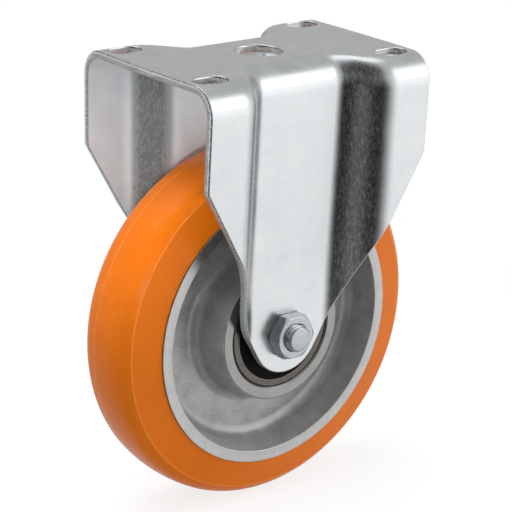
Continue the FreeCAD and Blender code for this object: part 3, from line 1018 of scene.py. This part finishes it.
@dataclass
class Tread:
    """The cast tread. Sizes are in millimetres."""

    diameter: float = 160.0
    seat_diameter: float = 123.0
    side_width: float = 38.4
    crown_radius: float = 50.0
    crown_width: float = 17.0
    shoulder_radius: float = 10.8
    shoulder_angle: float = 56.0
    edge: float = 0.12

    def outline(self) -> list[Point]:
        """Give the tread's section.

        Returns:
            Radius, place along the axle and side number of each point.
        """
        centre = Vector((self.diameter / 2 - self.crown_radius, 0))
        joint = math.asin(self.crown_width / 2 / self.crown_radius)
        spoke = Vector((math.cos(joint), math.sin(joint)))
        small = centre + spoke * (self.crown_radius - self.shoulder_radius)
        limit = math.radians(self.shoulder_angle)
        arcs = [(centre, self.crown_radius, joint * step / 10) for step in range(10)]
        arcs += [(small, self.shoulder_radius, joint + (limit - joint) * step / 14) for step in range(15)]
        half = [(c.x + radius * math.cos(turn), c.y + radius * math.sin(turn)) for c, radius, turn in arcs]
        seat, side = self.seat_diameter / 2, self.side_width / 2
        shoulder = Vector(half[-1])
        foot = Vector((seat, side))
        for share in (0.04, 0.3, 0.6, 0.85):
            half.append(tuple(shoulder.lerp(foot, share)))
        slope = (foot - shoulder).normalized()
        start = foot - slope * self.edge
        half += [tuple(start), (seat + self.edge * 0.25, side - self.edge * 0.3), (seat, side - self.edge)]
        return [(r, -a, 0) for r, a in half[:0:-1]] + [(r, a, 0) for r, a in half]

    def assemble(self) -> None:
        """Build the tread and settle it."""
        # Cast polyurethane, turned: a deep orange with soft, slightly silky highlights, and painted highlight
        # lines beside the middle and on the shoulders.
        finish = CastPolyurethane("orange_cast_polyurethane").material()
        piece = lathe("tread_casting", self.outline(), (finish,), around=256)
        settle(piece, Body.WHEEL, ["tread"])


@dataclass
class WheelCore:
    """The cast core: hub, web and rim. Sizes are in millimetres."""

    rim_diameter: float = 123.0
    rim_width: float = 40.0
    rim_ring: float = 5.0
    rim_draft: float = 3.2
    web: float = 10.0
    web_fillet: float = 5.0
    hub_length: float = 45.0
    hub_diameter: float = 63.0
    hub_draft: float = 2.6
    bearing: float = 52.04
    bore_chamfer: float = 0.7
    shoulder: float = 7.0
    passage: float = 45.0

    def outline(self) -> list[Corner]:
        """Give the core's section: both halves of one outline round the web.

        Returns:
            The section's corners.
        """
        rim_out, rim_in = self.rim_diameter / 2, self.rim_diameter / 2 - self.rim_ring
        hub, seat = self.hub_diameter / 2, self.bearing / 2
        hub_end, rim_end, web = self.hub_length / 2, self.rim_width / 2, self.web / 2
        half = [
            (self.passage / 2, self.shoulder, 0.2),
            (seat, self.shoulder, 0.2),
            (seat, hub_end - self.bore_chamfer, 0.15),
            (seat + self.bore_chamfer, hub_end, 0.2),
            (hub, hub_end, 0.9),
            (hub + self.hub_draft, web, self.web_fillet),
            (rim_in - self.rim_draft, web, self.web_fillet),
            (rim_in, rim_end, 0.45),
            (rim_out, rim_end, 0.15),
        ]
        return mirrored(half)

    def finish_of(self, side: int) -> int:
        """Give the material of each side: 0 for the cast skin, 1 for the hub's turned faces, 2 for the rim's.

        Args:
            side: The outline's side number.

        Returns:
            The material's number.
        """
        # The sides run over the far half and back over the near one, so a pair's numbers have a fixed sum.
        matched = min(side, len(self.outline()) - 2 - side)
        if matched in (4, 5, 6):
            return 0
        return 1 if matched < 4 else 2

    def assemble(self) -> None:
        """Build the core and settle it."""
        # Sand cast aluminium is dull and mottled, and the faces that a lathe has cut look cleaner.
        cast = SandCastAluminium("sand_cast_aluminium").material()
        faced = TurnedMetal("faced_cast_aluminium", dark="#8A8A89", light="#9C9C9B").material()
        turned = TurnedMetal("turned_cast_aluminium", dark="#A3A3A2", light="#B7B7B6").material()
        points = rounded(self.outline(), 8)
        piece = lathe("wheel_core_casting", points, (cast, faced, turned), self.finish_of, 240)
        settle(piece, Body.WHEEL, ["wheel_core"])


@dataclass
class BallBearing:
    """One sealed deep-groove bearing. Sizes are in millimetres."""

    side: Side
    bore: float = 25.04
    outside: float = 52.0
    width: float = 15.0
    middle: float = 14.5
    land_inside: float = 30.5
    land_outside: float = 45.0
    inner_shoulder: float = 33.8
    outer_shoulder: float = 43.2
    step: float = 5.83
    groove: float = 4.019
    pitch: float = 38.5
    seal_thickness: float = 1.3
    seal_setback: float = 0.25
    balls: int = 9

    def placed(self, corners: Sequence[Corner]) -> list[Point]:
        """Round an outline and move it to this bearing's place on the axle."""
        along = self.side.value * self.middle
        return [(r, a + along, side) for r, a, side in rounded(corners, 4)]

    def track(self, shoulder: float, outwards: int) -> list[Corner]:
        """Give the points of a ball track, from -Y to +Y.

        Args:
            shoulder: The shoulder's radius.
            outwards: 1 for the outer ring's track, -1 for the inner ring's.

        Returns:
            The track's points.
        """
        centre = self.pitch / 2
        reach = math.acos(abs(shoulder - centre) / self.groove)
        points = []
        for index in range(13):
            turn = -reach + 2 * reach * index / 12
            along = self.groove * math.sin(turn)
            points.append((centre + outwards * self.groove * math.cos(turn), along, 0.0))
        return points

    def ring(
        self, plain: float, land: float, shoulder: float, roundings: tuple[float, float], outwards: int
    ) -> list[Corner]:
        """Give a ring's section: plain on one side, with a land at each end and a ball track on the other.

        Args:
            plain: The diameter of the plain side.
            land: The diameter of the lands that the seals sit beside.
            shoulder: The diameter beside the track.
            roundings: The roundings of the land's and of the plain side's ends.
            outwards: 1 for the outer ring, -1 for the inner ring.

        Returns:
            The section's corners.
        """
        end = self.width / 2
        ends = [(land / 2, end, roundings[0]), (plain / 2, end, roundings[1])]
        half = [(shoulder / 2, self.step, 0), (land / 2, self.step, 0), *ends]
        return mirrored(half) + self.track(shoulder / 2, outwards)

    def seal(self, sense: int) -> list[Corner]:
        """Give a seal's section, with a bead at its rim, a moulded rib near its inside and a thin lip.

        Args:
            sense: The sign of the bearing's end that the seal closes.

        Returns:
            The seal's corners.
        """
        top = self.width / 2 - self.seal_setback
        base = top - self.seal_thickness
        inside, outside = self.land_inside / 2 + 0.12, self.land_outside / 2 - 0.02
        corners = [
            (inside, base, 0.1),
            (outside, base, 0.1),
            # The bead at the rim.
            (outside, top, 0.4),
            (outside - 1.1, top, 0.3),
            # The flat face between the bead and the rib, a little lower.
            (outside - 1.5, top - 0.35, 0.2),
            (inside + 2.4, top - 0.35, 0.3),
            # The rib.
            (inside + 1.9, top, 0.3),
            (inside + 1.2, top, 0.3),
            # The thin lip.
            (inside + 0.8, top - 0.5, 0.2),
            (inside, top - 0.5, 0.15),
        ]
        return [(r, sense * a, rounding) for r, a, rounding in corners]

    def assemble(self) -> None:
        """Build the rings and seals, and dress the balls and the cage."""
        word = self.side.word
        # Ground steel under a film of oil, which browns it and still lets fine rings show.
        ground = TurnedMetal(f"{word}_ground_bearing_steel", dark="#57524E", light="#6D6863", step_mm=0.6)
        steel = ground.material()
        # Moulded nitrile rubber makes the darkest and dullest ring of the wheel.
        rubber = MouldedRubber(f"{word}_moulded_nitrile_rubber").material()
        outline = self.ring(self.outside, self.land_outside, self.outer_shoulder, (0.15, 0.9), 1)
        outer = lathe(f"{word}_bearing_outer_ring", self.placed(outline), (steel,), around=128)
        settle(outer, Body.WHEEL, [f"{word}_outer_ring"])
        outline = self.ring(self.bore, self.land_inside, self.inner_shoulder, (0.5, 0.8), -1)
        inner = lathe(f"{word}_bearing_inner_ring", self.placed(outline), (steel,))
        settle(inner, Body.FORK, [f"{word}_inner_ring"])
        for place, sense in (("outboard", self.side.value), ("inboard", -self.side.value)):
            seal = lathe(f"{word}_{place}_seal_disc", self.placed(self.seal(sense)), (rubber,), around=128)
            settle(seal, Body.WHEEL, [f"{word}_{place}_seal"])
        # Pressed strip is a plain grey with small clouds, and lapping leaves the balls like mirrors.
        pressed = ZincPlate(
            f"{word}_pressed_cage_steel", cloud_mm=3.0, dark="#8B8C8D", light="#B4B5B5", scuff_and_shade_dark=""
        ).material()
        lapped = TurnedMetal(f"{word}_lapped_ball_steel", smooth=0.06, rough=0.12, depth_mm=0.001)
        polished = lapped.material()
        for part in ("cage_outboard_half", "cage_inboard_half", "cage_rivets"):
            dress(f"{word}_{part}", pressed)
        for number in range(1, self.balls + 1):
            dress(f"{word}_ball_{number}", polished)


@dataclass
class AxleSet:
    """The bolt, nut, tube, spacer and bushes. Sizes are in millimetres."""

    leg: float = 26.7
    bolt: float = 12.0
    pitch: float = 1.75
    thread_depth: float = 0.95
    thread_length: float = 12.0
    thread_steps: int = 60
    head_flats: float = 19.0
    head_height: float = 7.5
    nut_flats: float = 19.0
    nut_height: float = 6.0
    nut_sink: float = 13.0
    nut_turn: float = 2.0
    protrusion: float = 3.0
    chamfer_angle: float = 30.0
    face_share: float = 0.96  # The round face of a hexagon piece, as a share of its size across flats.
    broken_corner: float = 0.18
    softening: float = 0.12
    tube_bore: float = 12.6
    tube_outside: float = 25.0
    spacer_outside: float = 29.0
    bush_outside: float = 30.0
    fork_gap: float = 47.0
    bearing_end: float = 22.0
    spacer_end: float = 7.0
    tube_play: float = 0.04
    ring_edge: float = 0.4

    def hexagon(self, flats: float, turn: float) -> float:
        """Give the radius of a hexagon with a corner at angle 0 and slightly broken corners."""
        spoke = (turn + math.pi / 6) % (math.pi / 3) - math.pi / 6
        return min(flats / 2 / math.cos(math.pi / 6 - abs(spoke)), flats / math.sqrt(3) - self.broken_corner)

    def hex_side(self, flats: float, turn: float, low: float, high: float) -> list[tuple[float, float]]:
        """Give the chamfered outside of a hexagon piece at an angle, from its low face to its high face.

        Args:
            flats: The size across flats.
            turn: The angle round the axle.
            low: The face towards -Y.
            high: The face towards +Y.

        Returns:
            Radius and place along the axle of each point.
        """
        cone, soft = flats / 2 * self.face_share, self.softening
        reach = self.hexagon(flats, turn)
        drop = (reach - cone) * math.tan(math.radians(self.chamfer_angle))
        return [
            (cone - soft, low),
            (cone, low + soft * 0.3),
            (reach - soft, low + drop - soft * 0.4),
            (reach, low + drop + soft),
            (reach, (low + high) / 2),
            (reach, high - drop - soft),
            (reach - soft, high - drop + soft * 0.4),
            (cone, high - soft * 0.3),
            (cone - soft, high),
        ]

    def thread_radius(self, along: float, turn: float) -> float:
        """Give the radius of the bolt's thread at a place on it.

        Args:
            along: The place along the axle, in millimetres.
            turn: The angle round the axle.

        Returns:
            The radius, in millimetres.
        """
        phase = ((along + self.pitch * turn / math.tau) / self.pitch) % 1.0
        ramp = min(phase, 1 - phase) * 2
        # A narrow flat crest, a straight flank, and a flat root.
        crest, flank = 0.1, 0.72
        return self.bolt / 2 - self.thread_depth * min(1.0, max(0.0, (ramp - crest) / flank))

    def bolt_section(self, turn: float) -> list[tuple[float, float]]:
        """Give the bolt's section at an angle, from its end to its head's top.

        Args:
            turn: The angle round the axle.

        Returns:
            Radius and place along the axle of each point.
        """
        end = -self.leg - self.nut_height - self.protrusion
        radius, tip = self.bolt / 2, 0.4
        core = radius - self.thread_depth
        points = [(tip, end), (core - 0.5, end), (core - 0.15, end + 0.06)]
        for step in range(self.thread_steps):
            along = end + 0.15 + self.thread_length * step / (self.thread_steps - 1)
            chamfer = core - 0.1 + (along - end)
            points.append((min(self.thread_radius(along, turn), chamfer), along))
        # The thread runs out into the shank, and a small fillet joins the shank to the head.
        run_out = points[-1][1]
        points += [(radius - 0.3, run_out + 0.8), (radius - 0.02, run_out + 1.6)]
        points += [(radius - 0.02, self.leg - 0.3), (radius + 0.4, self.leg)]
        top = self.leg + self.head_height
        return points + self.hex_side(self.head_flats, turn, self.leg, top) + [(tip, top)]

    def nut_section(self, turn: float) -> list[tuple[float, float]]:
        """Give the nut's section at an angle: its sunk bore, then its outside.

        Args:
            turn: The angle round the axle.

        Returns:
            Radius and place along the axle of each point.
        """
        low, high = -self.leg - self.nut_height, -self.leg
        bore, sink = self.bolt / 2 + 0.02, self.nut_sink / 2
        drop = sink - bore
        hole = [(sink, high), (bore, high - drop), (bore, low + drop), (sink, low), (sink + 0.1, low)]
        return hole + self.hex_side(self.nut_flats, turn + math.radians(self.nut_turn), low, high)

    def assemble(self) -> None:
        """Build the fasteners and the turned pieces."""
        # Bluish zinc on cold-headed steel gives the bolt and the nut a cool, even grey with sharp glints.
        finish = ZincPlate(
            "zinc_plated_fastener_steel",
            metallic=0.9,
            dark="#A2A6A8",
            light="#B8BCBE",
            cloud_mm=4.0,
            smooth=0.2,
            rough=0.32,
            scuff_and_shade_dark="",
        ).material()
        bolt = sweep("hexagon_bolt", self.bolt_section, (finish,), closed=False)
        settle(bolt, Body.FORK, ["axle_bolt"])
        settle(sweep("hexagon_nut", self.nut_section, (finish,)), Body.FORK, ["axle_nut"])
        # Turned mild steel is a plain mid grey with fine rings.
        steel = TurnedMetal("turned_mild_steel", dark="#8F8F8E", light="#BDBDBC").material()
        gap, bore = self.fork_gap / 2, self.tube_outside + self.tube_play
        turnings = {
            "axle_tube": (self.tube_bore, self.tube_outside, -gap, gap),
            "bearing_spacer": (bore, self.spacer_outside, -self.spacer_end, self.spacer_end),
            "near_bush": (bore, self.bush_outside, -gap, -self.bearing_end),
            "far_bush": (bore, self.bush_outside, self.bearing_end, gap),
        }
        for node, (inside, outside, low, high) in turnings.items():
            outline = rounded(ring_outline(inside, outside, low, high, self.ring_edge), 4)
            settle(lathe(f"{node}_turning", outline, (steel,)), Body.FORK, [node])


@dataclass(frozen=True)
class Patch:
    """A soft round patch of the studio's surroundings, which the metals mirror.

    The limits are the cosines of the angle from its centre at its rim and where it is full. A power above 1
    keeps its outer part faint. The strength is how bright it is.
    """

    centre: Place
    limits: Span
    strength: float
    power: float = 1.0


@dataclass
class Studio:
    """The floor, the light and the camera. Sizes are in metres and angles in degrees."""

    floor: float = -0.2
    azimuth: float = 39.286
    elevation: float = 19.096
    roll: float = 2.086
    place: Place = (-0.5389, -0.6622, 0.2034)
    lens: float = 145.04
    sensor: float = 36.0
    floor_radius: float = 0.32
    floor_fade: Span = (0.10, 0.30)
    floor_clear: Span = (0.80, 1.0)
    sky: Span = (0.54, 0.57)
    dark_limit: float = 0.5
    # The dark patches come first: below the camera, above it, and low on its left. The bright ones lie high
    # at the back on the left, overhead, over the whole right side, and high on the right.
    patches: tuple[Patch, ...] = (
        Patch((-0.52, -0.56, -0.65), (0.30, 0.85), 0.015),
        Patch((-0.62, -0.35, 0.70), (0.80, 0.95), 0.12),
        Patch((-0.86, -0.38, -0.40), (0.95, 0.995), 0.32),
        Patch((-0.28, 0.42, 0.86), (0.94, 0.985), 2.4),
        Patch((0.09, 0.28, 0.95), (0.913, 0.965), 1.5),
        Patch((0.60, -0.73, 0.03), (0.0, 1.0), 1.53, power=4.5),
        Patch((0.60, -0.63, 0.49), (0.925, 0.968), 1.9),
    )

    def camera(self) -> None:
        """Place the camera as the photograph's was."""
        around, rise, roll = (math.radians(value) for value in (self.azimuth, self.elevation, self.roll))
        level = math.cos(rise)
        back = Vector((-math.sin(around) * level, -math.cos(around) * level, math.sin(rise)))
        right = Vector((math.cos(around), -math.sin(around), 0))
        up = back.cross(right)
        x_axis = right * math.cos(roll) + up * math.sin(roll)
        y_axis = up * math.cos(roll) - right * math.sin(roll)
        turn = Matrix((x_axis, y_axis, back)).transposed()
        data = bpy.data.cameras.new("photo_camera")
        data.lens = self.lens
        data.sensor_width = self.sensor
        data.clip_start = 0.01
        made = bpy.data.objects.new("photo_camera", data)
        made.matrix_world = Matrix.Translation(self.place) @ turn.to_4x4()
        bpy.context.scene.collection.objects.link(made)
        bpy.context.scene.camera = made

    def ground(self) -> None:
        """Make a pale floor that fades into the white backdrop."""
        mesh = bmesh.new()
        bmesh.ops.create_circle(mesh, cap_ends=True, segments=96, radius=self.floor_radius)
        data = bpy.data.meshes.new("floor")
        mesh.to_mesh(data)
        mesh.free()
        made = bpy.data.objects.new("floor", data)
        made.location = (0, 0, self.floor)
        bpy.context.scene.collection.objects.link(made)
        material = bpy.data.materials.new("pale_floor")
        material.use_nodes = True
        tree = material.node_tree
        tree.nodes.clear()
        draw = Drawing(tree)
        far = draw.add("VectorMath", {0: draw.add("TexCoord", output="Object")}, "Value", operation="LENGTH")
        (near, rim), (covered, clear) = self.floor_fade, self.floor_clear
        share = draw.add("MapRange", {0: far, 1: near, 2: rim, 3: covered, 4: clear})
        paint = draw.add("BsdfDiffuse", {"Color": linear("#F7F7F7")})
        mixed = draw.add("MixShader", {0: share, 1: paint, 2: draw.add("BsdfTransparent")})
        draw.fill(tree.nodes.new("ShaderNodeOutputMaterial"), {"Surface": mixed})
        data.materials.append(material)

    def world(self) -> None:
        """Make the surroundings: white behind the object, and bright and dark sides in its reflections."""
        world = bpy.data.worlds.new("studio")
        bpy.context.scene.world = world
        world.use_nodes = True
        tree = world.node_tree
        tree.nodes.clear()
        draw = Drawing(tree)
        direction = draw.add("TexCoord", output="Generated")
        height = draw.add("SeparateXYZ", {0: direction}, 2)
        level = draw.add("MapRange", {0: height, 1: -1.0, 2: 1.0, 3: self.sky[0], 4: self.sky[1]})
        rays = draw.add("LightPath").node.outputs
        for patch in self.patches:
            aim = Vector(patch.centre).normalized()
            near = draw.add("VectorMath", {0: direction, 1: aim}, "Value", operation="DOT_PRODUCT")
            share = draw.add("MapRange", {0: near, 1: patch.limits[0], 2: patch.limits[1]})
            share = draw.add("Math", {0: share, 1: patch.power}, operation="POWER")
            if patch.strength < self.dark_limit:
                # The dark patches are only seen in the metals, so they take no light from the dull surfaces.
                share = draw.add("Math", {0: share, 1: rays["Is Glossy Ray"]}, operation="MULTIPLY")
            level = draw.add("Mix", {0: share, 2: level, 3: patch.strength})
        around, white = (
            draw.add("Background", {"Color": (1, 1, 1, 1), "Strength": strength}) for strength in (level, 1.0)
        )
        mixed = draw.add("MixShader", {0: rays["Is Camera Ray"], 1: around, 2: white})
        draw.fill(tree.nodes.new("ShaderNodeOutputWorld"), {"Surface": mixed})

    def lamp(
        self,
        name: str,
        place: Place,
        size: float,
        power: float,
        target: Place = (0, 0, -0.09),
        beam: float = 180,
    ) -> None:
        """Hang one square soft box.

        Args:
            name: The lamp's name.
            place: Its place.
            size: The length of its sides.
            power: Its power in watts.
            target: The place that it points at.
            beam: The angle of its beam.
        """
        data = bpy.data.lights.new(name, "AREA")
        data.size = size
        data.energy = power
        data.spread = math.radians(beam)
        made = bpy.data.objects.new(name, data)
        made.location = place
        made.visible_glossy = False
        aim = Vector(target) - Vector(place)
        made.rotation_euler = aim.to_track_quat("-Z", "Y").to_euler()
        bpy.context.scene.collection.objects.link(made)

    def assemble(self) -> None:
        """Set up the whole studio."""
        bpy.context.scene.view_settings.view_transform = "Standard"
        self.camera()
        self.ground()
        self.world()
        self.lamp("overhead_soft_box", (-0.3, 0.1, 1.1), 0.9, 13.0)
        self.lamp("left_soft_box", (-1.0, -0.15, 0.5), 0.8, 0.4)
        self.lamp("low_left_soft_box", (-0.9, -0.25, -0.14), 0.6, 0.4)
        self.lamp("right_soft_box", (0.75, -0.6, 0.5), 0.8, 2.5)
        self.lamp("under_plate_fill", (-0.45, -0.45, 0.03), 0.06, 0.017, (-0.035, 0.04, -0.05), 14)


def main() -> None:
    """Build every sub-assembly in order."""
    logging.basicConfig(level=logging.INFO, format="%(message)s")
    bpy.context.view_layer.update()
    bearings = [BallBearing(side) for side in Side]
    for part in (Bracket(), Tread(), WheelCore(), *bearings, AxleSet(), Studio()):
        part.assemble()
        LOG.info("%s is ready", type(part).__name__)


if __name__ == "__main__":
    main()
